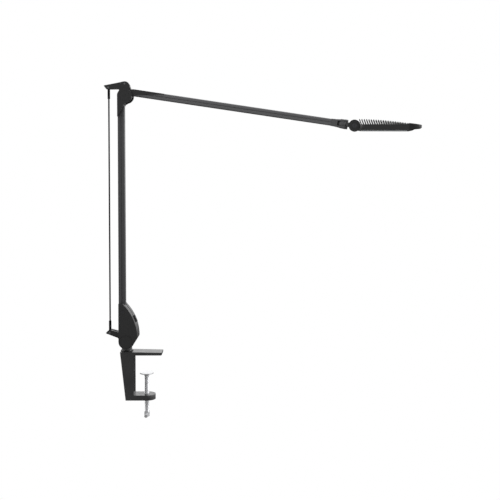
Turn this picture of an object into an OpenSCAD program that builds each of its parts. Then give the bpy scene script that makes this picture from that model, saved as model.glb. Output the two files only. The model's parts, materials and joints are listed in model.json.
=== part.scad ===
// Architect desk lamp: desk clamp, swivelling foot, two-tube balanced arm with a parallel rod, and a
// slim LED head with cooling fins. Millimetres. The origin is the point of the upper jaw's contact pad
// straight above the clamp screw. +X runs out under the upper arm, +Z up, and Y across the arm.

/* [Clamp] */
// Depth of the clamp frame across the arm
clamp_depth = 26; // [24:0.5:30]
// Screw axis to the inner face of the post
throat = 20.6; // [18:0.2:26]
// Screw axis to the tip of the upper jaw
jaw_tip = 27; // [24:0.5:34]
// Thickness of the upper jaw at the post
jaw_t = 6; // [5:0.25:8]
// Clear height between the two jaws
opening = 67.7; // [60:0.5:80]
// Thickness of the lower jaw
foot_t = 8.7; // [8:0.1:12]
// Screw axis to the back of the post at its top
post_back = 43.7; // [43:0.1:47]
// Screw axis to the back of the post at its foot
foot_back = 34.6; // [32:0.2:40]

/* [Clamp screw] */
// Outside radius of the screw thread
screw_r = 3.9; // [3.4:0.05:4.2]
// Lowest point of the screw below the contact pad
screw_low = 106.5; // [104:0.5:112]
// Top of the pressure plate below the contact pad
plate_top = 31.2; // [25:0.2:38]
// Radius of the pressure plate
plate_r = 11.5; // [9:0.25:12]
// Length of the tommy bar
bar_len = 31; // [26:1:40]

/* [Foot] */
// Screw axis back to the swivel axis
swivel_back = 33.5; // [33:0.1:34]
// Height of the lower arm's pivot above the contact pad
base_z = 24; // [24:0.1:26]
// Radius of the round neck
neck_r = 8.85; // [8.4:0.05:9]

/* [Arm] */
// Lower pivot to elbow pivot
lower_len = 415; // [380:1:440]
// Elbow pivot to the head's tilt axis, along the upper tube
upper_len = 390.2; // [350:0.1:420]
// Droop of the upper arm below level, in degrees
droop = 8.52; // [2:0.01:20]
// Width of a tube in the plane of the arm
tube_w = 11.5; // [11:0.1:11.8]
// Width of a tube across the arm
tube_d = 13; // [12.6:0.1:13.2]
// Pivot line to the middle of a tube
tube_off = 7.3; // [7.1:0.05:7.5]

/* [Linkage] */
// Lever pin ahead of its pivot, negative is behind
link_x = -28.4; // [-29:0.1:-28]
// Lever pin above its pivot
link_z = 14.2; // [13.8:0.1:14.6]
// Radius of the parallel rod
rod_r = 1.3; // [1:0.1:1.5]

/* [Casing] */
// Half depth of the casing at its pivot
case_half = 16; // [15.6:0.1:17]
// Half depth of the casing at its top
case_top_half = 15.5; // [14:0.1:16]
// Height of the casing above its pivot
case_h = 64.5; // [63:0.5:66]
// Radius of the curved front
front_r = 80.9; // [80.5:0.1:81.5]

/* [Elbow] */
// Radius of the elbow's outer discs
disc_r = 12.3; // [12:0.1:12.6]
// Half depth of the elbow
elbow_half = 16; // [15.5:0.1:17]

/* [Head] */
// Head turned aside at the wrist, in degrees
pan_rest = -7; // [-20:1:20]
// Droop of the head below level, in degrees
head_droop = 0.45; // [-5:0.05:10]
// Tilt axis to the head's tip
head_len = 111; // [105:0.5:120]
// Width of the head
head_w = 56; // [52:1:64]
// Radius of the wrist discs
wrist_r = 9.85; // [9.7:0.05:10]
// Number of cooling fins
fin_n = 21; // [10:1:21]
// Distance from fin to fin
fin_pitch = 3.85; // [3.6:0.05:3.85]
// Thickness of a fin
fin_t = 1.3; // [0.8:0.1:1.6]
// Width of the fins across the head
fin_w = 42; // [30:1:48]

/* [Hidden] */
$fn = 72;

dark = [0.16, 0.16, 0.17];
tube_grey = [0.27, 0.27, 0.28];
black = [0.07, 0.07, 0.07];
steel = [0.75, 0.76, 0.78];

run_gap = 0.05;             // radial play of a pin in its bore
face_gap = 0.3;             // side play between moving faces
axle_r = 3;                 // pivot axles of both arm joints
tube_wall = 1.3;
lead_r = 1.6;               // leads inside the tubes
lead_bore_r = 2.3;
link_len = norm([link_x, link_z]);
link_turn = atan2(link_z, link_x);
lean = droop - head_droop;  // head's tilt relative to the upper arm

// clamp
foot_top = -opening;
foot_low = -opening - foot_t;
pad_t = 1.6;
pad_proud = 0.4;
jaw_low = pad_proud;        // underside of the bare jaw
jaw_tip_drop = 1;
foot_round = clamp_depth / 2;
foot_mid = 2;
bush_r = 5.5;
pin_r = 4.5;
pin_low = -24;
flange_r = 10.6;
flange_t = 1.2;
set_z = -14;
set_r = 2;
back_slope = (post_back - foot_back) / (jaw_t - foot_low);
set_back = -post_back + back_slope * (jaw_t - set_z);

// clamp screw
plate_t = 1.7;
hub_r = 4.2;
hub_low = -plate_top - 5.6;
tip_r = 3.1;
boss_r = 4.4;
boss_h = 9;
bar_r = 2.15;
bar_z = -screw_low + 4.3;

// lower pivot: stack of knuckle, lever plates and springs across the arm
knuckle_half = 4.2;
plate_in = knuckle_half + face_gap;
plate_out = 7;
spring_in = 7.7;
spring_out = 12;
case_wall = 2.2;
cover_t = 2.6;
back_x = -12.2;             // back edge of the casing
front_cx = -61.2;           // centre of the curved front
front_cz = 6.25;
shoe_r = 12.1;
tube_foot = 32;             // lower end of the lower tube above its pivot
rear_slot = 7.6;
cap_r = 10.6;
slope_z = 12;               // where the casing's sides start to slope

// driver board
board_y = 1.6;              // far face of the board
board_posts = [16, 31.6];   // heights of its two posts

// front button
button_z = 37;
button_turn = asin((button_z - front_cz) / front_r);
button_len = 12;
button_w = 7;
button_proud = 2.5;

// elbow
cheek_in = 8.9;
knuckle_r = 10.6;
elbow_knuckle_half = cheek_in - face_gap;
web_top = -knuckle_r - 0.6;
tube_top = -16;
tongue_low = -35;
fork_back = -12.2;          // back edge of the fork
tube_screw_x = -8.7;
tube_screw_z = -20;
arm_start = 12.6;           // start of the upper tube past the elbow pivot
tongue_end = 64.5;
lever_low = 11.4;           // underside of the upper lever
lever_half = 6;
slot_half = 2.6;
slot_back = 11.5;
lever_pin_r = 1.7;
open_gap = 0.4;             // play at the linkage's open pivot
eye_r = 3.3;
ferrule_r = 2.15;
ferrule_end = 19;

// wrist
wrist_arm = 20.6;           // pan axis to tilt axis
pan_s = upper_len - wrist_arm;
fork_r = 9.3;
fork_start = pan_s - 19.6;
fork_half = 8;
tongue_half = 3.75;
hub_pan_r = 8.9;
pan_pin_r = 2.5;
wrist_half = 10;
wrist_knuckle_half = 4;
wrist_knuckle_r = 9;
tilt_r = 2.5;

// head
head_rear = 8.5;
head_low = -8.4;
deck_top = 1.3;
deck_t = 3;
skirt = 2;
tip_x = head_len - 21.2;    // where the tip piece starts
fin_first = 11.1;
fin_lean = 21;
crown_top = 10.3;
crown_x = 5;
crown_r = 532;
rear_round = 8;
tip_round = 14;

function crown(x) = crown_top - (x - crown_x) * (x - crown_x) / (2 * crown_r);

// ---- helpers ----

// A flat outline in X and Z, thickened from y0 to y1
module slab(y0, y1) {
    translate([0, y1, 0]) rotate([90, 0, 0]) linear_extrude(y1 - y0) children();
}

// The same, middled on the arm's plane
module plate(half) {
    slab(-half, half) children();
}

// A cylinder across the arm
module cross_cyl(r, y0, y1) {
    translate([0, y1, 0]) rotate([90, 0, 0]) cylinder(r = r, h = y1 - y0);
}

// Both sides of the arm
module both_sides() {
    children();
    mirror([0, 1, 0]) children();
}

module round_rect(w, d, r) {
    square([w - 2 * r, d], center = true);
    square([w, d - 2 * r], center = true);
    for (x = [-1, 1], y = [-1, 1]) {
        translate([x * (w / 2 - r), y * (d / 2 - r)]) circle(r);
    }
}

module at_swivel() {
    translate([-swivel_back, 0, 0]) children();
}

module at_base() {
    translate([-swivel_back, 0, base_z]) children();
}

module at_elbow() {
    translate([-swivel_back, 0, base_z + lower_len]) children();
}

// X runs along the upper tube, through the elbow pivot
module along_upper() {
    at_elbow() rotate([0, droop, 0]) children();
}

// X runs along the wrist, through the pan axis
module at_pan() {
    along_upper() translate([pan_s, 0, tube_off]) rotate([0, 0, pan_rest]) children();
}

// X runs along the head, through the tilt axis
module at_head() {
    at_pan() translate([wrist_arm, 0, 0]) rotate([0, -lean, 0]) children();
}

// ---- clamp ----

module clamp_side() {
    polygon([
        [-post_back, jaw_t], [-throat, jaw_t], [jaw_tip, jaw_t - jaw_tip_drop],
        [jaw_tip, jaw_low + 1.2], [jaw_tip - 1.2, jaw_low], [-throat, jaw_low],
        [-throat, foot_top], [foot_mid + foot_round, foot_top],
        [foot_mid + foot_round, foot_low], [-foot_back, foot_low]
    ]);
}

module clamp_frame() {
    pad_len = throat + jaw_tip - 6;
    color(dark) difference() {
        plate(clamp_depth / 2) clamp_side();
        // round end of the lower jaw
        translate([foot_mid, 0, foot_low - 1]) linear_extrude(foot_t + 2) difference() {
            translate([0, -clamp_depth]) square([foot_round + 1, 2 * clamp_depth]);
            circle(foot_round);
        }
        // swivel socket
        at_swivel() translate([0, 0, pin_low]) cylinder(r = bush_r + 0.02, h = jaw_t - pin_low + 1);
        // threaded way for the set screw
        translate([-post_back - 5, 0, set_z]) rotate([0, 90, 0])
            cylinder(r = set_r + 0.03, h = post_back + 5 - swivel_back);
        // threaded way for the clamp screw
        translate([0, 0, foot_low - 1]) cylinder(r = screw_r + run_gap, h = foot_t + 2);
        // seat of the contact pad
        translate([jaw_tip - 3 - pad_len / 2, 0, jaw_low - 1]) linear_extrude(1 + pad_t - pad_proud)
            round_rect(pad_len, clamp_depth - 4, 2);
    }
}

module jaw_pad() {
    pad_len = throat + jaw_tip - 6;
    color(black) translate([jaw_tip - 3 - pad_len / 2, 0, 0]) linear_extrude(pad_t - 0.02)
        round_rect(pad_len - 0.1, clamp_depth - 4.1, 2);
}

module swivel_bush() {
    color(black) at_swivel() difference() {
        union() {
            translate([0, 0, jaw_t]) cylinder(r = flange_r, h = flange_t);
            translate([0, 0, pin_low + 0.5]) cylinder(r = bush_r, h = jaw_t - pin_low);
        }
        translate([0, 0, pin_low - 1]) cylinder(r = pin_r + run_gap, h = jaw_t - pin_low + 5);
        translate([-bush_r - 2, 0, set_z]) rotate([0, 90, 0]) cylinder(r = 1.7, h = bush_r + 2);
    }
}

module swivel_setscrew() {
    point_x = -swivel_back - 3.9;
    color(steel) difference() {
        union() {
            translate([set_back + 0.5, 0, set_z]) rotate([0, 90, 0]) cylinder(r = set_r, h = 1.6);
            translate([set_back + 0.5, 0, set_z]) rotate([0, 90, 0])
                cylinder(r = 1.3, h = point_x - set_back - 0.5);
        }
        translate([set_back - 1, 0, set_z]) rotate([0, 90, 0]) cylinder(r = 1.15, h = 3, $fn = 6);
    }
}

// ---- clamp screw ----

module pressure_plate() {
    color(steel) difference() {
        union() {
            translate([0, 0, -plate_top - plate_t]) cylinder(r = plate_r, h = plate_t);
            translate([0, 0, hub_low]) cylinder(r = hub_r, h = -plate_top - plate_t - hub_low + 0.5);
        }
        translate([0, 0, hub_low - 1]) cylinder(r = tip_r + run_gap, h = 4.4);
    }
}

module clamp_screw() {
    color(steel) difference() {
        union() {
            translate([0, 0, -screw_low]) cylinder(r = boss_r, h = boss_h);
            translate([0, 0, -screw_low + 1]) cylinder(r = screw_r, h = screw_low - 1 + hub_low - 0.3);
            translate([0, 0, hub_low - 2]) cylinder(r = tip_r, h = 5.1);
        }
        translate([0, 0, bar_z]) cross_cyl(bar_r, -boss_r - 1, boss_r + 1);
    }
}

module tommy_bar() {
    color(steel) translate([0, 0, bar_z]) {
        cross_cyl(bar_r - 0.02, -bar_len / 2 + 1, bar_len / 2 - 1);
        both_sides() cross_cyl(bar_r + 0.7, bar_len / 2 - 2.6, bar_len / 2);
    }
}

// ---- foot ----

module foot_turret() {
    seat = jaw_t + flange_t + run_gap;
    neck_top = base_z - shoe_r - face_gap;
    color(dark) at_swivel() difference() {
        union() {
            translate([0, 0, pin_low + 1]) cylinder(r = pin_r, h = seat - pin_low);
            translate([0, 0, seat]) cylinder(r1 = neck_r + 1.2, r2 = neck_r, h = 1.2);
            translate([0, 0, seat + 1.2]) cylinder(r = neck_r, h = neck_top - seat - 1.2);
            translate([-7, -knuckle_half, neck_top - 1]) cube([14, 2 * knuckle_half, base_z - neck_top + 1]);
            translate([0, 0, base_z]) cross_cyl(9.5, -knuckle_half, knuckle_half);
        }
        // groove for the set screw
        translate([0, 0, set_z - 2]) difference() {
            cylinder(r = pin_r + 1, h = 4);
            cylinder(r = 3.5, h = 4);
        }
        translate([0, 0, base_z]) cross_cyl(axle_r + run_gap, -knuckle_half - 1, knuckle_half + 1);
    }
}

// ---- casing of the lower arm ----

// Side outline of the casing, drawn in by i
module casing_outline(i) {
    nx = -0.846;
    nz = 0.533;
    circle(shoe_r - i);
    intersection() {
        translate([front_cx, front_cz]) circle(front_r - i, $fn = 200);
        polygon([
            [back_x + i, 0], [back_x + i, case_h - i], [30, case_h - i],
            [28 + i * nx, 19.2 + i * nz], [11.5 + i * nx, -7 + i * nz], [5.5, -10.7 + i], [0, 0]
        ]);
    }
}

// Half depth of the casing at height z
function side_y(z) = case_half - (case_half - case_top_half) * max(z - slope_z, 0) / (case_h - slope_z);

// Room between the two sides, which slope above the caps, drawn in by i on each side
module casing_depth(i) {
    low = case_half - i;
    top = side_y(case_h + 1) - i;
    rotate([90, 0, 90]) linear_extrude(120, center = true) polygon([
        [-low, -20], [low, -20], [low, slope_z], [top, case_h + 1], [-top, case_h + 1], [-low, slope_z]
    ]);
}

module casing_shell() {
    intersection() {
        plate(case_half + 1) casing_outline(0);
        casing_depth(0);
    }
}

// The hollow inside the casing, and the ways out of it
module casing_hollow() {
    intersection() {
        plate(case_half + 1) casing_outline(case_wall);
        casing_depth(case_wall);
    }
    // slot at the back for the lever
    translate([back_x - 1, -rear_slot, -20]) cube([6, 2 * rear_slot, tube_foot + 20]);
    // slot underneath for the neck, up the front as far as the slanted edge
    slab(-neck_r - 0.5, neck_r + 0.5) polygon([
        [back_x - 1, 2], [back_x - 1, -20], [30, -20], [30, 6], [case_wall + 14, 6], [0, 2]
    ]);
}

// Block that grips the lower tube
module tube_socket() {
    intersection() {
        casing_shell();
        translate([back_x, -20, tube_foot - 1.5]) cube([-tube_off + tube_w / 2 + 3 - back_x, 40, 60]);
    }
}

module tube_space(z0, z1) {
    translate([-tube_off, 0, z0]) linear_extrude(z1 - z0)
        square([tube_w + 0.1, tube_d + 0.1], center = true);
}

module at_button() {
    translate([front_cx, 0, front_cz]) rotate([0, -button_turn, 0]) translate([front_r, 0, 0]) children();
}

// Boss for the axle, springs and pivot cap, on the +Y side
module case_boss() {
    cross_cyl(5.2, plate_out + face_gap, case_half - 1);
    intersection() {
        cross_cyl(shoe_r - case_wall - 0.2, spring_out + 0.3, case_half - 1);
        casing_depth(0);
    }
}

module case_boss_cut() {
    cross_cyl(axle_r + 0.02, plate_out, case_half + 1);
    cross_cyl(cap_r + 0.25, case_half - 1.6, case_half + 1);
}

// Along, up and length of each cover screw
screw_spots = [[-5, 51, 4.6], [14, 13, 9]];
cover_sink = 1.35;          // depth of a cover screw's seat

module casing_body() {
    color(dark) at_base() difference() {
        union() {
            difference() {
                casing_shell();
                casing_hollow();
            }
            tube_socket();
            intersection() {
                case_boss();
                casing_depth(0);
            }
            // posts for the lower cover screw and for the driver board
            intersection() {
                casing_shell();
                union() {
                    translate([screw_spots[1][0], 0, screw_spots[1][1]]) cross_cyl(2.6, -15, 15);
                    for (z = board_posts) translate([5, 0, z]) cross_cyl(1.3, board_y, 15);
                }
            }
        }
        tube_space(tube_foot, case_h + 5);
        translate([-tube_off, 0, tube_foot - 3]) cylinder(r = lead_bore_r, h = 5);
        case_boss_cut();
        cover_cut();
        for (s = screw_spots) translate([s[0], 0, s[1]]) cross_cyl(1.25, -16, -side_y(s[1]) + s[2] + 1.5);
        // way in for the power inlet
        translate([6, 0, 24]) cross_cyl(4.55, 0, case_half + 1);
        // button window
        at_button() cube([16, button_w + 0.4, button_len + 0.4], center = true);
        // vents above the button
        for (i = [0 : 7]) {
            z = 44.5 + 2.2 * i;
            translate([front_cx + sqrt(front_r * front_r - (z - front_cz) * (z - front_cz)), 0, z])
                cube([6.8, 9, 1], center = true);
        }
    }
}

// Everything of the casing outside the cover's joint face, which slopes with the side
module cover_cut() {
    slab_low = case_half - cover_t;
    slab_top = side_y(case_h + 1) - cover_t;
    rotate([90, 0, 90]) linear_extrude(120, center = true) polygon([
        [-slab_low, -20], [-slab_low, slope_z], [-slab_top, case_h + 1], [-30, case_h + 1], [-30, -20]
    ]);
}

module casing_cover() {
    color(dark) at_base() difference() {
        union() {
            intersection() {
                casing_shell();
                cover_cut();
            }
            mirror([0, 1, 0]) intersection() {
                case_boss();
                casing_depth(0);
            }
        }
        mirror([0, 1, 0]) case_boss_cut();
        for (s = screw_spots) translate([s[0], 0, s[1]]) {
            cross_cyl(1.6, -20, 0);
            cross_cyl(3, -20, -side_y(s[1]) + cover_sink);
        }
        tube_space(tube_foot, case_h + 5);
    }
}

module casing_screws() {
    color(black) at_base() for (s = screw_spots) {
        seat = -side_y(s[1]) + cover_sink;
        translate([s[0], 0, s[1]]) difference() {
            union() {
                cross_cyl(1.2, seat - 0.5, seat + s[2] - cover_sink);
                cross_cyl(2.8, seat - 1.2, seat - 0.02);
            }
            cross_cyl(1.1, seat - 3, seat - 0.5, $fn = 6);
        }
    }
}

module base_axle() {
    color(steel) at_base() cross_cyl(axle_r, -case_half + 2.2, case_half - 2.2);
}

module pivot_caps() {
    color(dark) at_base() both_sides() cross_cyl(cap_r, case_half - 1.5, case_half);
}

// Coil of square-section wire round the axle boss, swept turn by turn
module torsion_spring(r, wire, turns, pitch) {
    steps = 20;
    n = floor(turns * steps);
    ring = [[-1, -1], [1, -1], [1, 1], [-1, 1]];
    pts = [
        for (i = [0 : n]) for (c = ring)
            let (a = 360 * i / steps, rad = r + c[0] * wire / 2)
                [rad * cos(a), pitch * i / steps + c[1] * wire / 2, rad * sin(a)]
    ];
    sides = [
        for (i = [0 : n - 1]) for (k = [0 : 3])
            let (a = 4 * i + k, b = 4 * i + (k + 1) % 4) [a, b, b + 4, a + 4]
    ];
    polyhedron(pts, concat([[3, 2, 1, 0]], sides, [[4 * n, 4 * n + 1, 4 * n + 2, 4 * n + 3]]));
}

module balance_springs() {
    color(steel) at_base() both_sides() translate([0, spring_in + 0.6, 0])
        torsion_spring(6.6, 1.1, 2.3, 1.35);
}

module driver_board() {
    color([0.1, 0.35, 0.2]) at_base() {
        translate([1.8, board_y - 1.6, 14]) cube([6.6, 1.6, 20]);
        for (z = [18.2, 24.6]) translate([2.2, board_y - 0.1, z]) cube([5, 3.4, 5]);
        // switch behind the button
        translate([7.6, board_y - 4, 29.4]) cube([2, 4, 4]);
    }
}

module power_inlet() {
    color(black) at_base() translate([6, 0, 24]) {
        difference() {
            cross_cyl(4.5, 6, case_half - 1.3);
            cross_cyl(3.1, 7.5, case_half + 1);
        }
        cross_cyl(0.9, 7.2, case_half - 2.5);
    }
}

// A tube's section: rounded, hollow, with one groove along each broad side
module tube_section() {
    difference() {
        round_rect(tube_w, tube_d, 1.6);
        round_rect(tube_w - 2 * tube_wall, tube_d - 2 * tube_wall, 0.8);
        for (y = [-1, 1]) translate([0, y * tube_d / 2]) circle(0.75, $fn = 24);
    }
}

// Section of the spigots that the tubes slide over
module spigot() {
    round_rect(tube_w - 2 * tube_wall - 0.2, tube_d - 2 * tube_wall - 0.2, 0.8);
}

module lower_tube() {
    color(tube_grey) difference() {
        at_base() translate([-tube_off, 0, tube_foot + 0.05])
            linear_extrude(lower_len + tube_top - tube_foot - 0.1) tube_section();
        at_elbow() translate([tube_screw_x, 0, tube_screw_z]) cross_cyl(1.25, 0, 20);
    }
}

module lower_lead() {
    color(black) at_base() translate([-tube_off, 0, tube_foot - 1])
        cylinder(r = lead_r, h = lower_len + web_top - tube_foot - 1);
}

module tube_screw() {
    color(steel) at_elbow() translate([tube_screw_x, 0, tube_screw_z]) difference() {
        union() {
            cross_cyl(1.2, tube_d / 2 - tube_wall - 2, tube_d / 2 + 0.3);
            cross_cyl(2.2, tube_d / 2 + 0.02, tube_d / 2 + 0.9);
        }
        cross_cyl(0.9, tube_d / 2 + 0.3, tube_d / 2 + 2, $fn = 6);
    }
}

// ---- elbow ----

// Side outline of the fork: a disc and a tongue that tapers down the tube
module fork_outline() {
    circle(disc_r);
    polygon([
        [fork_back, 1], [fork_back, tongue_low],
        [fork_back + 0.9, tongue_low], [-1.6, -14.5], [3, -11.9], [0, 0]
    ]);
}

module elbow_fork() {
    color(dark) at_elbow() difference() {
        union() {
            difference() {
                plate(elbow_half) fork_outline();
                translate([-40, -cheek_in, web_top]) cube([80, 2 * cheek_in, 60]);
                // clear way for the upper arm past the web
                translate([-0.5, -cheek_in, -30]) cube([40, 2 * cheek_in, 60]);
                tube_space(-60, tube_top);
            }
            translate([-tube_off, 0, tube_top - 22]) linear_extrude(22.5) spigot();
        }
        translate([-tube_off, 0, -60]) cylinder(r = lead_bore_r, h = 70);
        both_sides() {
            cross_cyl(axle_r + 0.02, cheek_in - 1, elbow_half + 1);
            cross_cyl(8.25, elbow_half - 1.6, elbow_half + 1);
        }
        translate([tube_screw_x, 0, tube_screw_z]) {
            cross_cyl(1.25, 0, 12);
            cross_cyl(2.9, tube_d / 2, elbow_half + 1);
        }
    }
}

module elbow_axle() {
    color(steel) at_elbow() cross_cyl(axle_r, -elbow_half + 2.2, elbow_half - 2.2);
}

module elbow_washers() {
    color(black) at_elbow() both_sides() difference() {
        cross_cyl(6.5, cheek_in - 0.26, cheek_in - 0.02);
        cross_cyl(axle_r + 0.1, cheek_in - 1, cheek_in + 1);
    }
}

module elbow_caps() {
    color(dark) at_elbow() both_sides() difference() {
        cross_cyl(8.1, elbow_half - 1.5, elbow_half);
        cross_cyl(2.6, elbow_half - 0.5, elbow_half + 1);
    }
}

// ---- button ----

module power_button() {
    color(black) at_base() at_button() {
        translate([-3.7, 0, 0]) rotate([0, 90, 0]) linear_extrude(3.7 + button_proud)
            round_rect(button_len, button_w, 2);
        translate([-3.7, -button_w / 2 - 0.8, -button_len / 2 - 0.8])
            cube([0.9, button_w + 1.6, button_len + 1.6]);
    }
}

// ---- linkage ----

// Side outline of the lower lever
module lower_lever_outline() {
    circle(7.5);
    polygon([
        [-34.7, 13.6], [-34.2, 12.75], [-22, 8], [-15.2, 5.35], [-5.2, -3.4],
        [2.6, 7.05], [-15.2, 15.3], [-26.3, 18.2], [-29.4, 18]
    ]);
}

// Slot for a rod end, open past the lever's tip
module lever_slot() {
    rotate([0, -link_turn, 0]) translate([link_len - slot_back, -slot_half, -30])
        cube([60, 2 * slot_half, 60]);
}

module at_link() {
    translate([link_x, 0, link_z]) children();
}

module lower_lever() {
    color(dark) at_base() difference() {
        plate(plate_out) lower_lever_outline();
        cross_cyl(14.4, -plate_in, plate_in);
        cross_cyl(axle_r + run_gap, -20, 20);
        lever_slot();
        at_link() cross_cyl(lever_pin_r + 0.02, -20, 20);
    }
}

module lever_pin(half) {
    at_link() cross_cyl(lever_pin_r, -half - 0.3, half + 0.3);
}

module lower_lever_pin() {
    color(steel) at_base() lever_pin(plate_out);
}

module upper_lever_pin() {
    color(steel) at_elbow() lever_pin(lever_half);
}

// Eye and ferrule, with the rod entering from the top
module rod_end(bore) {
    difference() {
        union() {
            cross_cyl(eye_r, -2.2, 2.2);
            cylinder(r = ferrule_r, h = ferrule_end);
        }
        cross_cyl(bore, -5, 5);
        translate([0, 0, 8]) cylinder(r = rod_r + 0.02, h = ferrule_end);
    }
}

module lower_rod_end() {
    color(dark) at_base() at_link() rod_end(lever_pin_r + run_gap);
}

module upper_rod_end() {
    color(dark) at_elbow() at_link() mirror([0, 0, 1]) rod_end(lever_pin_r + open_gap);
}

module parallel_rod() {
    color([0.3, 0.3, 0.31]) at_base() at_link() translate([0, 0, 8.3]) cylinder(r = rod_r, h = lower_len - 16.6);
}

// ---- upper arm ----

// Part of the knuckle that follows the elbow's own axes: barrel and seat of the lever
module knuckle_outline() {
    circle(knuckle_r);
    polygon([[-10.1, 0], [-10.1, lever_low], [9.6, lever_low], [8, 0]]);
}

// Part of the knuckle that lies along the upper tube
module knuckle_tongue() {
    top = tube_off + tube_w / 2;
    low = tube_off - tube_w / 2;
    polygon([
        [0, 0], [2, 10.5], [arm_start, top], [tongue_end, top], [tongue_end, top - 0.6],
        [arm_start + 0.6, low + 1.9], [arm_start + 0.6, low], [10.4, -0.5]
    ]);
}

module elbow_knuckle() {
    color(dark) difference() {
        union() {
            at_elbow() plate(elbow_knuckle_half) knuckle_outline();
            along_upper() difference() {
                plate(elbow_knuckle_half - 0.15) knuckle_tongue();
                translate([arm_start + 0.05, 0, tube_off]) rotate([0, 90, 0]) linear_extrude(120)
                    square([tube_w + 0.1, tube_d + 0.1], center = true);
            }
            along_upper() translate([arm_start - 1, 0, tube_off]) rotate([0, 90, 0]) linear_extrude(24)
                spigot();
        }
        at_elbow() cross_cyl(axle_r + run_gap, -20, 20);
        along_upper() translate([9, 0, tube_off]) rotate([0, 90, 0]) cylinder(r = lead_bore_r, h = 60);
        at_elbow() for (x = [-7, 5]) translate([x, 0, 6]) cylinder(r = 1.25, h = 10);
    }
}

module upper_lever_outline() {
    polygon([
        [-36, 17], [-35, 17.9], [-24.3, 19.9], [-8.7, 23], [-3, 24.3], [0.2, 24.5], [2.4, 24],
        [3.9, 23], [6.8, 19], [9.4, lever_low + 0.05], [-14.3, lever_low + 0.05], [-31.5, 11.2]
    ]);
}

module upper_lever() {
    color(dark) at_elbow() difference() {
        plate(lever_half) upper_lever_outline();
        lever_slot();
        at_link() cross_cyl(lever_pin_r + 0.02, -20, 20);
        translate([-1, 0, 20.6]) cross_cyl(1.62, -20, 20);
        for (x = [-7, 5]) translate([x, 0, 0]) {
            cylinder(r = 1.7, h = 40);
            translate([0, 0, 16]) cylinder(r = 2.9, h = 20);
        }
    }
}

module lever_bolts() {
    color(black) at_elbow() for (x = [-7, 5]) translate([x, 0, 0]) difference() {
        union() {
            translate([0, 0, 6.5]) cylinder(r = 1.2, h = 10);
            translate([0, 0, 16.02]) cylinder(r = 2.75, h = 2.6);
        }
        translate([0, 0, 17.2]) cylinder(r = 1.3, h = 3, $fn = 6);
    }
}

module lever_cross_pin() {
    color(steel) at_elbow() translate([-1, 0, 20.6]) cross_cyl(1.6, -lever_half - 0.3, lever_half + 0.3);
}

module upper_tube() {
    color(tube_grey) along_upper() translate([arm_start + 0.1, 0, tube_off]) rotate([0, 90, 0])
        linear_extrude(fork_start - arm_start - 0.2) tube_section();
}

module upper_lead() {
    color(black) along_upper() translate([arm_start + 1, 0, tube_off]) rotate([0, 90, 0])
        cylinder(r = lead_r, h = fork_start - arm_start + 6);
}

// ---- wrist ----

// Side outline of the wrist fork, flaring from the tube to its two cheeks
module wrist_side() {
    low = tube_w / 2 + 0.15;
    end = pan_s + fork_r - fork_start;
    polygon([
        [0, -low], [8, -low - 0.3], [end - 4, -fork_half], [end, -fork_half],
        [end, fork_half], [end - 4, fork_half], [8, low + 0.3], [0, low]
    ]);
}

module wrist_fork() {
    mid = pan_s - fork_start;
    half = tube_d / 2 + 0.15;
    color(dark) along_upper() translate([fork_start, 0, tube_off]) difference() {
        union() {
            intersection() {
                plate(fork_r) wrist_side();
                linear_extrude(40, center = true) {
                    polygon([[0, -half], [mid - 2, -fork_r], [mid, -fork_r], [mid, fork_r],
                             [mid - 2, fork_r], [0, half]]);
                    translate([mid, 0]) circle(fork_r);
                }
            }
            translate([-20, 0, 0]) rotate([0, 90, 0]) linear_extrude(21) spigot();
        }
        translate([mid - hub_pan_r - 0.6, -20, -tongue_half - face_gap])
            cube([40, 40, 2 * (tongue_half + face_gap)]);
        translate([mid, 0, -20]) cylinder(r = pan_pin_r + 0.02, h = 40);
        for (z = [-1, 1]) translate([mid, 0, z * (fork_half + 0.5) - 1.5])
            cylinder(r = 4.2, h = 3);
        translate([-30, 0, 0]) rotate([0, 90, 0]) cylinder(r = lead_bore_r, h = mid + 24);
    }
}

module pan_pin() {
    color(steel) along_upper() translate([pan_s, 0, tube_off]) {
        cylinder(r = pan_pin_r, h = 2 * fork_half - 1.6, center = true);
        for (z = [-1, 1]) translate([0, 0, z * (fork_half - 0.6)]) difference() {
            cylinder(r = 3.9, h = 0.75, center = true);
            translate([0, 0, z * 0.6]) cube([1, 6, 0.8], center = true);
        }
    }
}

module wrist_block() {
    color(black) at_pan() difference() {
        union() {
            cylinder(r = hub_pan_r, h = 2 * tongue_half, center = true);
            translate([0, -5, -tongue_half]) cube([11, 10, 2 * tongue_half]);
            translate([6, -wrist_knuckle_half, -tongue_half]) cube([13, 2 * wrist_knuckle_half, 2 * tongue_half]);
            translate([wrist_arm, 0, 0]) cross_cyl(wrist_knuckle_r, -wrist_knuckle_half, wrist_knuckle_half);
        }
        cylinder(r = pan_pin_r + run_gap, h = 20, center = true);
        // round the shoulders clear of the wrist discs
        translate([wrist_arm, 0, 0]) both_sides() cross_cyl(wrist_r + 0.4, wrist_knuckle_half, 12);
        translate([wrist_arm, 0, 0]) cross_cyl(tilt_r + run_gap, -20, 20);
    }
}

// ---- head ----

// Plan of the head, drawn in by i
module head_plan(i) {
    w = head_w / 2 - i;
    x0 = head_rear + i;
    x1 = head_len - i;
    ra = rear_round - i;
    rb = tip_round - i;
    translate([x0 + ra, -w]) square([x1 - rb - x0 - ra, 2 * w]);
    translate([x0, -w + ra]) square([ra + 1, 2 * (w - ra)]);
    translate([x1 - rb - 1, -w + rb]) square([rb + 1, 2 * (w - rb)]);
    for (s = [-1, 1]) {
        translate([x0 + ra, s * (w - ra)]) circle(ra);
        translate([x1 - rb, s * (w - rb)]) circle(rb);
    }
}

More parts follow.
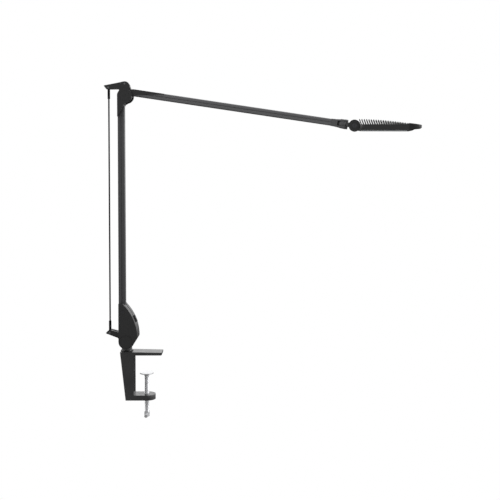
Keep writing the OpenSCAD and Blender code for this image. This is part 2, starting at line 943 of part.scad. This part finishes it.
// One leaning fin, cut off along the crown
module fin(x) {
    shift = tan(fin_lean);
    rise = crown(x) - deck_top;
    plate(fin_w / 2) polygon([
        [x + 0.2, deck_top - 0.5], [x + fin_t + 0.2, deck_top - 0.5],
        [x + fin_t - shift * rise, deck_top + rise - 0.1], [x - shift * rise, deck_top + rise]
    ]);
}

module head_heatsink() {
    color(dark) at_head() difference() {
        union() {
            difference() {
                intersection() {
                    translate([0, 0, head_low]) linear_extrude(deck_top - head_low) head_plan(0);
                    translate([0, -50, -20]) cube([tip_x - 0.05, 100, 40]);
                }
                // hollow for the light
                intersection() {
                    translate([0, 0, head_low - 1]) linear_extrude(deck_top - deck_t - head_low + 1)
                        head_plan(skirt);
                    translate([0, -50, -20]) cube([tip_x - skirt, 100, 40]);
                }
            }
            for (i = [0 : fin_n - 1]) fin(fin_first + fin_pitch * i);
            both_sides() {
                cross_cyl(wrist_r, wrist_knuckle_half + face_gap, wrist_half);
                translate([0, wrist_knuckle_half + face_gap, head_low])
                    cube([head_rear + skirt, wrist_half - wrist_knuckle_half - face_gap, deck_top - head_low]);
            }
        }
        cross_cyl(wrist_knuckle_r + 0.6, -wrist_knuckle_half - face_gap, wrist_knuckle_half + face_gap);
        cross_cyl(tilt_r + 0.02, -20, 20);
        cross_cyl(4.5, -20, -wrist_half + 3);
        cross_cyl(4.6, wrist_half - 2.6, 20, $fn = 6);
        for (x = [18, tip_x - 8], y = [-1, 1]) translate([x, y * 24.4, -10]) cylinder(r = 0.9, h = 10);
    }
}

module head_tip() {
    color(black) at_head() intersection() {
        linear_extrude(40, center = true) head_plan(0);
        plate(head_w) polygon([
            [tip_x, deck_top + 2.2], [head_len, deck_top - 0.5], [head_len, head_low + 5.2],
            [head_len - 0.8, head_low + 4], [head_len - 9.5, head_low + 3.4],
            [head_len - 13, head_low + 1.5], [tip_x + 1.4, head_low], [tip_x, head_low]
        ]);
    }
}

module led_board() {
    color([0.9, 0.9, 0.88]) at_head() translate([head_rear + 6, -23.4, deck_top - deck_t - 1.22])
        cube([tip_x - head_rear - 11, 46.8, 1.2]);
}

module led_chips() {
    color([0.95, 0.9, 0.6]) at_head() for (i = [0 : 8], y = [-14, 0, 14])
        translate([head_rear + 10 + 7.8 * i, y, deck_top - deck_t - 1.62]) cube([3, 3, 0.78], center = true);
}

module diffuser_frame() {
    low = head_low + 2.05;
    top = deck_top - deck_t - 1.3;
    color("white") at_head() translate([0, 0, low]) difference() {
        intersection() {
            linear_extrude(top - low) head_plan(skirt + 0.1);
            translate([0, -50, -20]) cube([tip_x - skirt - 0.1, 100, 40]);
        }
        intersection() {
            translate([0, 0, -1]) linear_extrude(20) head_plan(skirt + 3.6);
            translate([0, -50, -20]) cube([tip_x - skirt - 3.6, 100, 40]);
        }
        for (x = [18, tip_x - 8], y = [-1, 1]) translate([x, y * 24.4, -10]) cylinder(r = 1.2, h = 20);
    }
}

module diffuser() {
    color([0.95, 0.95, 0.95]) at_head() intersection() {
        translate([0, 0, head_low + 0.4]) linear_extrude(1.6) head_plan(skirt + 0.1);
        translate([0, -50, -20]) cube([tip_x - skirt - 0.1, 100, 40]);
    }
}

module head_screws() {
    color(steel) at_head() for (x = [18, tip_x - 8], y = [-1, 1])
        translate([x, y * 24.4, head_low + 2.05]) cylinder(r = 0.85, h = 5.6);
}

module tilt_bolt() {
    color(steel) at_head() difference() {
        union() {
            cross_cyl(tilt_r, -wrist_half + 2.9, wrist_half - 0.6);
            cross_cyl(4.2, -wrist_half + 0.6, -wrist_half + 2.95);
        }
        cross_cyl(1.6, -wrist_half - 1, -wrist_half + 2, $fn = 6);
    }
}

module tilt_nut() {
    color(steel) at_head() difference() {
        cross_cyl(4.4, wrist_half - 2.5, wrist_half - 0.3, $fn = 6);
        cross_cyl(tilt_r + 0.03, 0, 20);
    }
}

clamp_frame();
jaw_pad();
swivel_bush();
swivel_setscrew();
pressure_plate();
clamp_screw();
tommy_bar();
foot_turret();
casing_body();
casing_cover();
casing_screws();
base_axle();
pivot_caps();
balance_springs();
driver_board();
power_inlet();
lower_tube();
lower_lead();
tube_screw();
elbow_fork();
elbow_axle();
elbow_washers();
elbow_caps();
power_button();
lower_lever();
lower_lever_pin();
parallel_rod();
lower_rod_end();
upper_rod_end();
elbow_knuckle();
upper_lever();
lever_bolts();
lever_cross_pin();
upper_lever_pin();
upper_tube();
upper_lead();
wrist_fork();
pan_pin();
wrist_block();
head_heatsink();
head_tip();
led_board();
led_chips();
diffuser_frame();
diffuser();
tilt_bolt();
tilt_nut();
head_screws();
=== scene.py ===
"""Architect desk lamp: charcoal coats, anodised tubes, opal diffuser and a truly threaded clamp screw."""

import json
import math

import bmesh
import bpy
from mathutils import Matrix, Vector


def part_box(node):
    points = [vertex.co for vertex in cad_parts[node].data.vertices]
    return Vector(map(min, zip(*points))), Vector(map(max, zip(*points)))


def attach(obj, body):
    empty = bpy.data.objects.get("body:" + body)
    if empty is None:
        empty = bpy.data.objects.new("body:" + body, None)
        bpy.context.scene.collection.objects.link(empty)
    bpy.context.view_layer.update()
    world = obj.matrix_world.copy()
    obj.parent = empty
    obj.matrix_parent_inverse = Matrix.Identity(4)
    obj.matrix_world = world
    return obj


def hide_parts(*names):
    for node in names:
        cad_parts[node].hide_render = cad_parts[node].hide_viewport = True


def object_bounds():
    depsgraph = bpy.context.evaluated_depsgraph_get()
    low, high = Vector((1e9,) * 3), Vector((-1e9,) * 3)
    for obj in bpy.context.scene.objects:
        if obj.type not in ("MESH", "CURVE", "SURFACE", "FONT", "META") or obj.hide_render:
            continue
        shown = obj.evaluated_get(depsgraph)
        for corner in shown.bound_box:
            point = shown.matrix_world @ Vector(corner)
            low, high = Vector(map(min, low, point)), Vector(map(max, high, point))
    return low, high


MM = 0.001

# ---- camera ----

CAMERA_AT = (0.1765, -1.5, 0.35)
CAMERA_LENS = 63.74
CAMERA_TURN = (88.29, 0.076, -0.007)     # degrees
CAMERA_SHIFT = -0.15

# ---- clamp screw ----

THREAD_OUTER = 3.88 * MM
THREAD_ROOT = 3.25 * MM
THREAD_PITCH = 1.25 * MM
THREAD_SEGMENTS = 28        # round one turn
BOSS_RADIUS = 4.4 * MM
BOSS_HEIGHT = 9.0 * MM
BOSS_CHAMFER = 0.5 * MM
TIP_RADIUS = 3.1 * MM
TIP_LENGTH = 3.1 * MM
TIP_CHAMFER = 0.4 * MM
TIP_STEP = 0.1 * MM
RUN_IN = 0.4 * MM           # plain stretch between the boss and the thread
RUN_OUT = 0.5 * MM          # plain stretch between the thread and the tip
STEPS_PER_PITCH = 10
ROOT_END, CREST_START, CREST_END = 0.2, 0.52, 0.68      # of one pitch

# ---- room ----

FLOOR_HALF_SIZE = 8
FLOOR_DROP = 1.5            # metres, below the lamp's lowest point

# The world's light, by the direction that it comes from: (from, to) of the direction, then of the light
SKY = ((-0.22, 0.1), (0.03, 1.12))
DEPTH = ((-0.7, 0.1), (0.3, 1.0))
LEFT = ((-0.3, -0.9), (0.0, 0.3))
RIGHT = ((0.45, 0.85), (0.0, 0.55))
FRONT = ((-0.3, -0.9), (0.0, 0.25))

LIT_POINT = (0.15, 0, 0.25)


def add_camera():
    data = bpy.data.cameras.new("camera")
    data.lens = CAMERA_LENS
    data.sensor_width = 36
    data.shift_y = CAMERA_SHIFT
    data.clip_end = 50
    camera = bpy.data.objects.new("camera", data)
    camera.location = CAMERA_AT
    camera.rotation_euler = [math.radians(a) for a in CAMERA_TURN]
    bpy.context.scene.collection.objects.link(camera)
    bpy.context.scene.camera = camera


# ---- material building blocks ----


class Paint:
    """A material whose colour, roughness and relief are built up from procedural patterns."""

    def __init__(self, name, **sockets):
        self.material = bpy.data.materials.new(name)
        self.material.use_nodes = True
        self.tree = self.material.node_tree
        self.shader = self.tree.nodes["Principled BSDF"]
        self.relief = None
        for socket, value in sockets.items():
            self.shader.inputs[socket.replace("_", " ")].default_value = value

    def node(self, kind, **inputs):
        made = self.tree.nodes.new(kind)
        for socket, value in inputs.items():
            self.put(made.inputs[socket], value)
        return made

    def put(self, socket, value):
        if isinstance(value, bpy.types.NodeSocket):
            self.tree.links.new(value, socket)
        else:
            socket.default_value = value

    def place(self, scale=(1, 1, 1), turn=(0, 0, 0)):
        """Object coordinates in metres, turned and then stretched."""
        coords = self.node("ShaderNodeTexCoord").outputs["Object"]
        turned = self.node("ShaderNodeMapping", Vector=coords, Rotation=turn)
        return self.node("ShaderNodeMapping", Vector=turned.outputs[0], Scale=scale).outputs[0]

    def noise(self, scale, detail=2.0, vector=None):
        vector = vector or self.place()
        made = self.node("ShaderNodeTexNoise", Vector=vector, Scale=scale, Detail=detail)
        return made.outputs["Fac"]

    def between(self, factor, low, high, start=0.3, end=0.7):
        """Low to high as factor goes from start to end."""
        made = self.node("ShaderNodeMapRange", Value=factor)
        made.inputs["From Min"].default_value = start
        made.inputs["From Max"].default_value = end
        made.inputs["To Min"].default_value = low
        made.inputs["To Max"].default_value = high
        return made.outputs["Result"]

    def colours(self, factor, *stops):
        """A colour ramp: stops are (position, (r, g, b))."""
        made = self.node("ShaderNodeValToRGB", Fac=factor)
        ramp = made.color_ramp
        while len(ramp.elements) < len(stops):
            ramp.elements.new(0.5)
        for element, (position, colour) in zip(ramp.elements, stops):
            element.position = position
            element.color = (*colour, 1)
        return made.outputs["Color"]

    def base(self, colour):
        self.put(self.shader.inputs["Base Color"], colour)

    def rough(self, value):
        self.put(self.shader.inputs["Roughness"], value)

    def raise_by(self, height, distance, strength=1.0):
        """Adds relief, distance deep, over whatever relief there is."""
        bump = self.node("ShaderNodeBump", Height=height, Distance=distance, Strength=strength)
        if self.relief:
            self.put(bump.inputs["Normal"], self.relief)
        self.relief = bump.outputs["Normal"]
        self.put(self.shader.inputs["Normal"], self.relief)


def tint(colour, factor):
    return tuple(min(1.0, c * factor) for c in colour)


# ---- materials ----


def coat(name, colour, roughness, grain=1500.0):
    """Satin powder coat: fine orange peel, slight clouding and faint handling marks."""
    paint = Paint(name, Specular_IOR_Level=0.5, Coat_Weight=0.35, Coat_Roughness=roughness - 0.1)
    cloud = paint.noise(45, 3)
    paint.base(paint.colours(cloud, (0.3, tint(colour, 0.86)), (0.7, tint(colour, 1.16))))
    marks = paint.noise(160, 4, paint.place(scale=(1, 1, 0.35)))
    paint.rough(paint.between(marks, roughness - 0.05, roughness + 0.06))
    paint.raise_by(paint.noise(grain, 2), 0.00003, 0.5)
    paint.raise_by(paint.noise(grain / 4, 1), 0.00004, 0.25)
    return paint.material


def anodised(name, colour, turn):
    """Satin extrusion: fine die lines along the tube, which lies along X after the turn."""
    paint = Paint(name, Metallic=0.25, Specular_IOR_Level=0.5, Anisotropic=0.4)
    lines = paint.noise(1.0, 3, paint.place(scale=(6, 4500, 4500), turn=turn))
    streaks = paint.noise(1.0, 2, paint.place(scale=(3, 500, 500), turn=turn))
    paint.base(paint.colours(streaks, (0.3, tint(colour, 0.85)), (0.7, tint(colour, 1.15))))
    paint.rough(paint.between(lines, 0.34, 0.46))
    paint.raise_by(lines, 0.00001, 0.6)
    return paint.material


def moulded(name, colour, roughness, grain=2500.0, depth=0.00004):
    """Spark-eroded texture of moulded nylon."""
    paint = Paint(name, Specular_IOR_Level=0.4)
    cloud = paint.noise(70, 2)
    paint.base(paint.colours(cloud, (0.3, tint(colour, 0.85)), (0.7, tint(colour, 1.2))))
    paint.rough(paint.between(paint.noise(grain / 3, 3), roughness - 0.06, roughness + 0.06))
    paint.raise_by(paint.noise(grain, 1), depth, 0.6)
    return paint.material


def plated(name, colour, roughness, marks=0.08):
    """Bright or blackened plating over turned steel, with fine turning marks and a little dulling."""
    paint = Paint(name, Metallic=1.0)
    dull = paint.noise(120, 4)
    paint.base(paint.colours(dull, (0.25, tint(colour, 0.82)), (0.75, tint(colour, 1.05))))
    rings = paint.noise(1.0, 2, paint.place(scale=(300, 300, 3500)))
    paint.rough(paint.between(rings, roughness, roughness + marks))
    paint.raise_by(rings, 0.000006, 0.5)
    return paint.material


def rubber(name, colour):
    """Matt rubber with a fine moulded cross grip."""
    paint = Paint(name, Specular_IOR_Level=0.25)
    paint.base(paint.colours(paint.noise(90, 3), (0.3, tint(colour, 0.8)), (0.7, tint(colour, 1.3))))
    paint.rough(paint.between(paint.noise(400, 3), 0.75, 0.92))
    grip = paint.node("ShaderNodeTexChecker", Vector=paint.place(turn=(0, 0, math.radians(45))), Scale=700.0)
    paint.raise_by(grip.outputs["Fac"], 0.00012, 0.7)
    paint.raise_by(paint.noise(3000, 1), 0.00003, 0.5)
    return paint.material


def circuit_board(name, mask, track):
    """Solder mask with faint tracks under it."""
    paint = Paint(name, Specular_IOR_Level=0.5)
    cells = paint.node("ShaderNodeTexVoronoi", Vector=paint.place(), Scale=420.0)
    cells.feature = "DISTANCE_TO_EDGE"
    tracks = cells.outputs["Distance"]
    paint.base(paint.colours(tracks, (0.05, track), (0.12, mask)))
    paint.rough(paint.between(paint.noise(300, 2), 0.3, 0.4))
    paint.raise_by(tracks, 0.00003, 0.4)
    return paint.material


def phosphor(name, colour):
    """Soft yellow cap of an LED."""
    paint = Paint(name, Subsurface_Weight=0.2, Specular_IOR_Level=0.4)
    paint.base(paint.colours(paint.noise(900, 2), (0.3, tint(colour, 0.9)), (0.7, tint(colour, 1.08))))
    paint.rough(paint.between(paint.noise(1500, 1), 0.4, 0.5))
    return paint.material


def opal(name, colour):
    """Milky diffuser with a faint prism pattern of small cells."""
    paint = Paint(name, Subsurface_Weight=0.15, Coat_Weight=0.3, Coat_Roughness=0.15)
    paint.base(paint.colours(paint.noise(60, 2), (0.3, tint(colour, 0.96)), (0.7, tint(colour, 1.02))))
    prisms = paint.node("ShaderNodeTexVoronoi", Vector=paint.place(), Scale=650.0)
    prisms.feature = "SMOOTH_F1"
    paint.rough(paint.between(prisms.outputs["Distance"], 0.3, 0.42, 0, 1))
    paint.raise_by(prisms.outputs["Distance"], 0.0001, 0.5)
    return paint.material


def arm_droop(joints):
    """Droop of the upper tube in radians, from the head's pan axis, which stands square to it."""
    axis = next(j["axis"] for j in joints if j["name"] == "head_pan")
    return math.atan2(axis[0], axis[2])


def make_materials(frame):
    droop = arm_droop(frame["joints"])
    charcoal = (0.012, 0.012, 0.0125)
    return {
        "clamp_coat": coat("clamp_coat", (0.034, 0.034, 0.035), 0.26),
        "cast_coat": coat("cast_coat", charcoal, 0.42),
        "casing_coat": coat("casing_coat", charcoal, 0.42),
        "head_coat": coat("head_coat", charcoal, 0.42, 1900.0),
        "tube_coat": anodised("tube_coat", (0.085, 0.085, 0.088), (0, math.radians(90), 0)),
        # Upper tube: the tube coat with its die lines turned to the droop. Its colour is about twice as light,
        # which is painted light standing in for the brighter light on the upper tube.
        "upper_tube_lit_coat": anodised("upper_tube_lit_coat", (0.16, 0.16, 0.165), (0, -droop, 0)),
        "head_plastic": moulded("head_plastic", (0.012, 0.012, 0.0125), 0.5),
        "black_nylon": moulded("black_nylon", (0.01, 0.01, 0.0105), 0.55),
        "button_black": moulded("button_black", (0.03, 0.03, 0.031), 0.6, 3200.0),
        "pad_rubber": rubber("pad_rubber", (0.012, 0.012, 0.012)),
        "lead_black": moulded("lead_black", (0.012, 0.012, 0.012), 0.7),
        "wrist_coat": coat("wrist_coat", (0.1, 0.1, 0.104), 0.42),
        "black_steel": plated("black_steel", (0.09, 0.09, 0.095), 0.32),
        "ferrule_black": plated("ferrule_black", (0.02, 0.02, 0.021), 0.4),
        "rod_steel": plated("rod_steel", (0.03, 0.03, 0.032), 0.4),
        "spring_steel": plated("spring_steel", (0.4, 0.4, 0.42), 0.25),
        "zinc": plated("zinc", (0.9, 0.905, 0.92), 0.22),
        "pin_zinc": plated("pin_zinc", (0.22, 0.22, 0.225), 0.4),
        "board_green": circuit_board("board_green", (0.012, 0.12, 0.045), (0.03, 0.22, 0.08)),
        "board_white": circuit_board("board_white", (0.8, 0.8, 0.78), (0.7, 0.68, 0.6)),
        "led_yellow": phosphor("led_yellow", (0.85, 0.68, 0.2)),
        "frame_white": moulded("frame_white", (0.75, 0.75, 0.75), 0.5),
        "diffuser_white": opal("diffuser_white", (0.84, 0.85, 0.85)),
    }


def dress_nodes(frame, materials):
    """Each CAD node takes the material of its slot; a few have a variant of it. The upper tube's variant is a lit
    copy of the tube coat: its colour is about twice as light, as painted light.
    """
    own = {
        # The upper tube takes a lighter copy of the tube coat: painted light on one material.
        "upper_tube": "upper_tube_lit_coat", "lower_lever_pin": "pin_zinc",
        "upper_lever_pin": "pin_zinc", "lever_cross_pin": "pin_zinc",
    }
    for row in frame["record"]["subparts"]:
        node = frame["nodes"][row["node"]]
        chosen = materials[own.get(row["node"], row["material_slot"])]
        node.data.materials.clear()
        node.data.materials.append(chosen)


def break_edges(frame):
    """Real parts have no knife edges: each listed node's sharp edges get a small round."""
    widths = {
        "clamp_frame": 0.5, "casing_body": 0.35, "casing_cover": 0.35, "elbow_fork": 0.4,
        "elbow_knuckle": 0.3, "lower_lever": 0.35, "upper_lever": 0.35, "foot_turret": 0.25,
        "wrist_fork": 0.3, "wrist_block": 0.3, "head_tip": 0.3, "power_button": 0.3,
        "pressure_plate": 0.25, "tommy_bar": 0.4, "pivot_caps": 0.25, "elbow_caps": 0.25,
        "upper_tube": 0.15, "lower_tube": 0.15, "head_heatsink": 0.12, "diffuser": 0.15,
    }
    for name, width in widths.items():
        node = frame["nodes"][name]
        weld = node.modifiers.new("weld", "WELD")
        weld.merge_threshold = 1e-6
        bevel = node.modifiers.new("edge", "BEVEL")
        bevel.width = width * MM
        bevel.segments = 2
        bevel.limit_method = "ANGLE"
        bevel.angle_limit = math.radians(32)
        bevel.harden_normals = True
        bevel.use_clamp_overlap = True


# ---- threaded clamp screw ----


def ring(mesh, radius_at, z):
    """One ring of vertices at height z, whose radius may change round the turn."""
    made = []
    for i in range(THREAD_SEGMENTS):
        turn = 2 * math.pi * i / THREAD_SEGMENTS
        radius = radius_at(i)
        made.append(mesh.verts.new((radius * math.cos(turn), radius * math.sin(turn), z)))
    return made


def round_ring(mesh, radius, z):
    return ring(mesh, lambda i: radius, z)


def join_rings(mesh, low, high):
    for i in range(THREAD_SEGMENTS):
        j = (i + 1) % THREAD_SEGMENTS
        mesh.faces.new((low[i], low[j], high[j], high[i]))


def thread_radius(phase):
    """Radius along one pitch, phase 0 to 1: flat root, flank, narrow crest, flank."""
    depth = THREAD_OUTER - THREAD_ROOT
    if phase < ROOT_END:
        return THREAD_ROOT
    if phase < CREST_START:
        return THREAD_ROOT + depth * (phase - ROOT_END) / (CREST_START - ROOT_END)
    if phase < CREST_END:
        return THREAD_OUTER
    return THREAD_OUTER - depth * (phase - CREST_END) / (1 - CREST_END)


def screw_rings(mesh, low, high):
    """Rings from the boss up through the thread to the tip, between heights low and high."""
    boss_top = low + BOSS_HEIGHT
    tip_low = high - TIP_LENGTH
    thread_low = boss_top + RUN_IN

    def threaded(z):
        def radius(i):
            phase = (z / THREAD_PITCH - i / THREAD_SEGMENTS) % 1.0
            fade = min(1.0, (z - thread_low) / THREAD_PITCH, (tip_low - z) / THREAD_PITCH)
            return THREAD_ROOT + (thread_radius(phase) - THREAD_ROOT) * max(0.0, fade)
        return radius

    boss = [
        (BOSS_RADIUS - BOSS_CHAMFER, low), (BOSS_RADIUS, low + BOSS_CHAMFER),
        (BOSS_RADIUS, boss_top - BOSS_CHAMFER), (BOSS_RADIUS - BOSS_CHAMFER, boss_top),
        (THREAD_ROOT, boss_top), (THREAD_ROOT, thread_low),
    ]
    tip = [
        (THREAD_ROOT, tip_low), (TIP_RADIUS, tip_low + TIP_STEP),
        (TIP_RADIUS, high - TIP_CHAMFER), (TIP_RADIUS - TIP_CHAMFER, high),
    ]
    count = int((tip_low - RUN_OUT - thread_low) / THREAD_PITCH * STEPS_PER_PITCH)
    rings = [round_ring(mesh, radius, z) for radius, z in boss]
    for k in range(1, count + 1):
        z = thread_low + k * THREAD_PITCH / STEPS_PER_PITCH
        rings.append(ring(mesh, threaded(z), z))
    return rings + [round_ring(mesh, radius, z) for radius, z in tip]


def make_screw(materials):
    """Plated screw with a right-hand thread. Its chamfered boss has no bore drawn for the tommy bar."""
    low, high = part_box("clamp_screw")
    mesh = bmesh.new()
    rings = screw_rings(mesh, low.z, high.z)
    for lower, upper in zip(rings, rings[1:]):
        join_rings(mesh, lower, upper)
    mesh.faces.new(list(reversed(rings[0])))
    mesh.faces.new(rings[-1])
    data = bpy.data.meshes.new("screw_thread")
    mesh.to_mesh(data)
    mesh.free()
    data.shade_smooth()
    data.set_sharp_from_angle(angle=math.radians(40))
    screw = bpy.data.objects.new("screw_thread", data)
    bpy.context.scene.collection.objects.link(screw)
    data.materials.append(materials["zinc"])
    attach(screw, "clamp_screw")
    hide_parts("clamp_screw")


# ---- floor, world and lights ----


def add_floor(bounds_low):
    """White to look at and clear to the light, so it neither lights the lamp nor takes its shadow."""
    mesh = bmesh.new()
    bmesh.ops.create_grid(mesh, x_segments=1, y_segments=1, size=FLOOR_HALF_SIZE)
    data = bpy.data.meshes.new("floor")
    mesh.to_mesh(data)
    mesh.free()
    floor = bpy.data.objects.new("floor", data)
    floor.location = (0, 0, bounds_low[2] - FLOOR_DROP)
    bpy.context.scene.collection.objects.link(floor)
    paint = Paint("floor_white")
    paint.tree.nodes.remove(paint.shader)
    glow = paint.node("ShaderNodeEmission", Color=(1, 1, 1, 1), Strength=1.0)
    clear = paint.node("ShaderNodeBsdfTransparent")
    seen = paint.node("ShaderNodeLightPath").outputs["Is Camera Ray"]
    mixed = paint.node("ShaderNodeMixShader", Fac=seen)
    paint.tree.links.new(clear.outputs[0], mixed.inputs[1])
    paint.tree.links.new(glow.outputs[0], mixed.inputs[2])
    out = paint.tree.nodes["Material Output"]
    paint.tree.links.new(mixed.outputs[0], out.inputs["Surface"])
    data.materials.append(paint.material)


def add_world():
    """White to look at; as a light, bright overhead and at the sides, dim in front and dark below."""
    world = bpy.data.worlds.new("studio")
    bpy.context.scene.world = world
    world.use_nodes = True
    tree = world.node_tree
    background = tree.nodes["Background"]
    background.inputs["Color"].default_value = (1, 1, 1, 1)
    coords = tree.nodes.new("ShaderNodeTexCoord").outputs["Generated"]
    split = tree.nodes.new("ShaderNodeSeparateXYZ")
    tree.links.new(coords, split.inputs[0])

    def ranged(value, span, light):
        made = tree.nodes.new("ShaderNodeMapRange")
        made.interpolation_type = "SMOOTHSTEP"
        for socket, number in zip(made.inputs[1:5], (*span, *light)):
            socket.default_value = number
        tree.links.new(value, made.inputs[0])
        return made.outputs[0]

    def math_node(operation, *values):
        made = tree.nodes.new("ShaderNodeMath")
        made.operation = operation
        for socket, value in zip(made.inputs, values):
            tree.links.new(value, socket)
        return made.outputs[0]

    above = math_node("MULTIPLY", ranged(split.outputs["Z"], *SKY), ranged(split.outputs["Y"], *DEPTH))
    ahead = ranged(split.outputs["Y"], *FRONT)
    left = ranged(split.outputs["X"], *LEFT)
    right = ranged(split.outputs["X"], *RIGHT)
    total = math_node("ADD", math_node("ADD", above, ahead), math_node("ADD", left, right))
    mixed = tree.nodes.new("ShaderNodeMix")
    tree.links.new(tree.nodes.new("ShaderNodeLightPath").outputs["Is Camera Ray"], mixed.inputs[0])
    tree.links.new(total, mixed.inputs[2])
    mixed.inputs[3].default_value = 1.0
    tree.links.new(mixed.outputs[0], background.inputs["Strength"])


def add_light(name, at, size, power):
    data = bpy.data.lights.new(name, "AREA")
    data.size = size
    data.energy = power
    lamp = bpy.data.objects.new(name, data)
    lamp.location = at
    lamp.rotation_euler = (Vector(LIT_POINT) - Vector(at)).to_track_quat("-Z", "Y").to_euler()
    bpy.context.scene.collection.objects.link(lamp)


def add_lights():
    add_light("top", at=(0.1, 0.3, 2.0), size=1.8, power=12)
    add_light("right", at=(2.0, 0.5, 1.3), size=1.2, power=12)


def bounds_list():
    return [list(corner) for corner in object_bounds()]


add_camera()
bpy.context.scene.view_settings.view_transform = "Standard"
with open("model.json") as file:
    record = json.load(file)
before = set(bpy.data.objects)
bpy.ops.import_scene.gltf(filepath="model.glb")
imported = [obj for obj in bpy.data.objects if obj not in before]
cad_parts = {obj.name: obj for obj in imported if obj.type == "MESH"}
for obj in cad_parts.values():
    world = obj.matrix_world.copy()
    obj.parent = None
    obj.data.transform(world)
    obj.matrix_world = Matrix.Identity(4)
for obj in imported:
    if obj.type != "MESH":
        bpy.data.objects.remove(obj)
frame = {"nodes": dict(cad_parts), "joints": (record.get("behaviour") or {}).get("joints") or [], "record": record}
cad_bounds = bounds_list()
materials = make_materials(frame)
dress_nodes(frame, materials)
break_edges(frame)
make_screw(materials)
add_floor(cad_bounds[0])
add_world()
add_lights()
